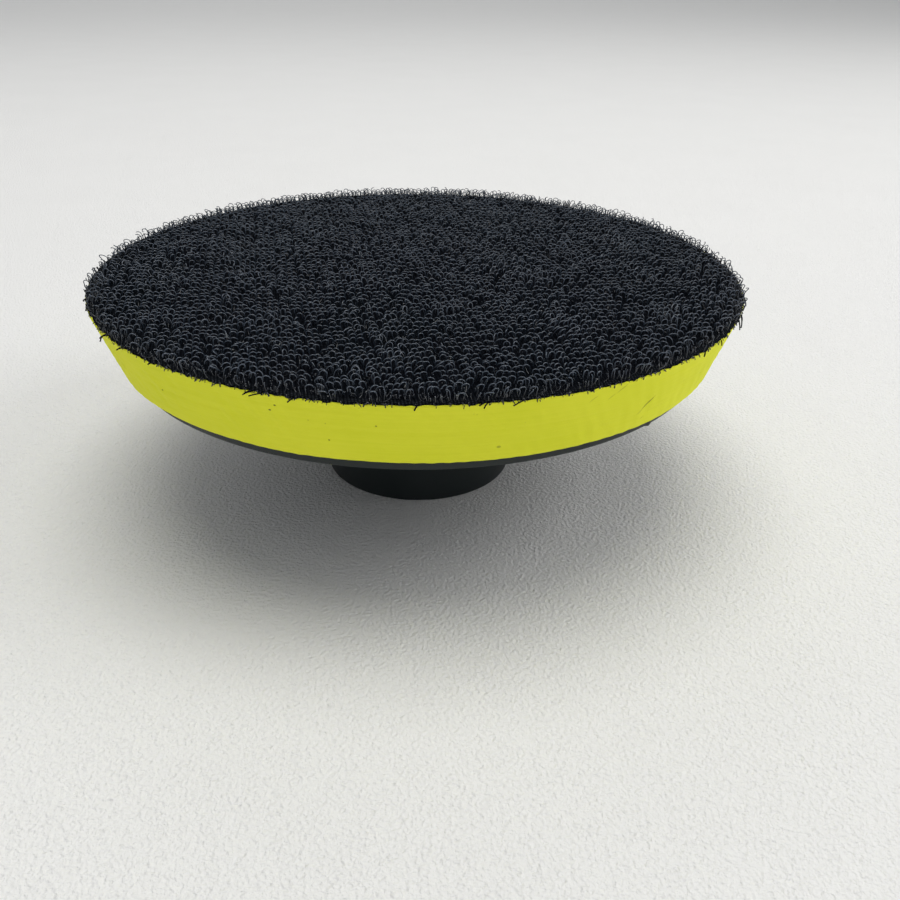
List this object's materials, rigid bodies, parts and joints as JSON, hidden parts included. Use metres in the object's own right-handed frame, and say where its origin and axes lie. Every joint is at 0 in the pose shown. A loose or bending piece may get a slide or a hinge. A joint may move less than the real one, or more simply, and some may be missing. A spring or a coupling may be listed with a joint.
{
  "type": "polisher backing pad",
  "caption": "Round hook-and-loop backing pad: tapered foam disc with a hook face on a rigid ribbed plate, whose hub has a threaded steel insert for the spindle.",
  "frame": {"origin": "centre of the hub's end face, which is the pad's lowest face as it stands", "axes": "+Z along the spindle axis, from the hub's end towards the hook face"},
  "size_m": [0.125, 0.125, 0.0442],
  "materials": {
    "black_plastic": "moulded black glass-filled nylon, satin",
    "steel": "turned and threaded steel",
    "yellow_foam": "cut closed-cell polyurethane foam, matt",
    "web_nylon": "woven black nylon tape",
    "hook_nylon": "black nylon monofilament hooks, glossy"
  },
  "bodies": {
    "root": {"backing_plate": "black_plastic", "threaded_insert": "steel", "foam_pad": "yellow_foam", "hook_web": "web_nylon", "hook_pile": "hook_nylon"}
  },
  "joints": []
}
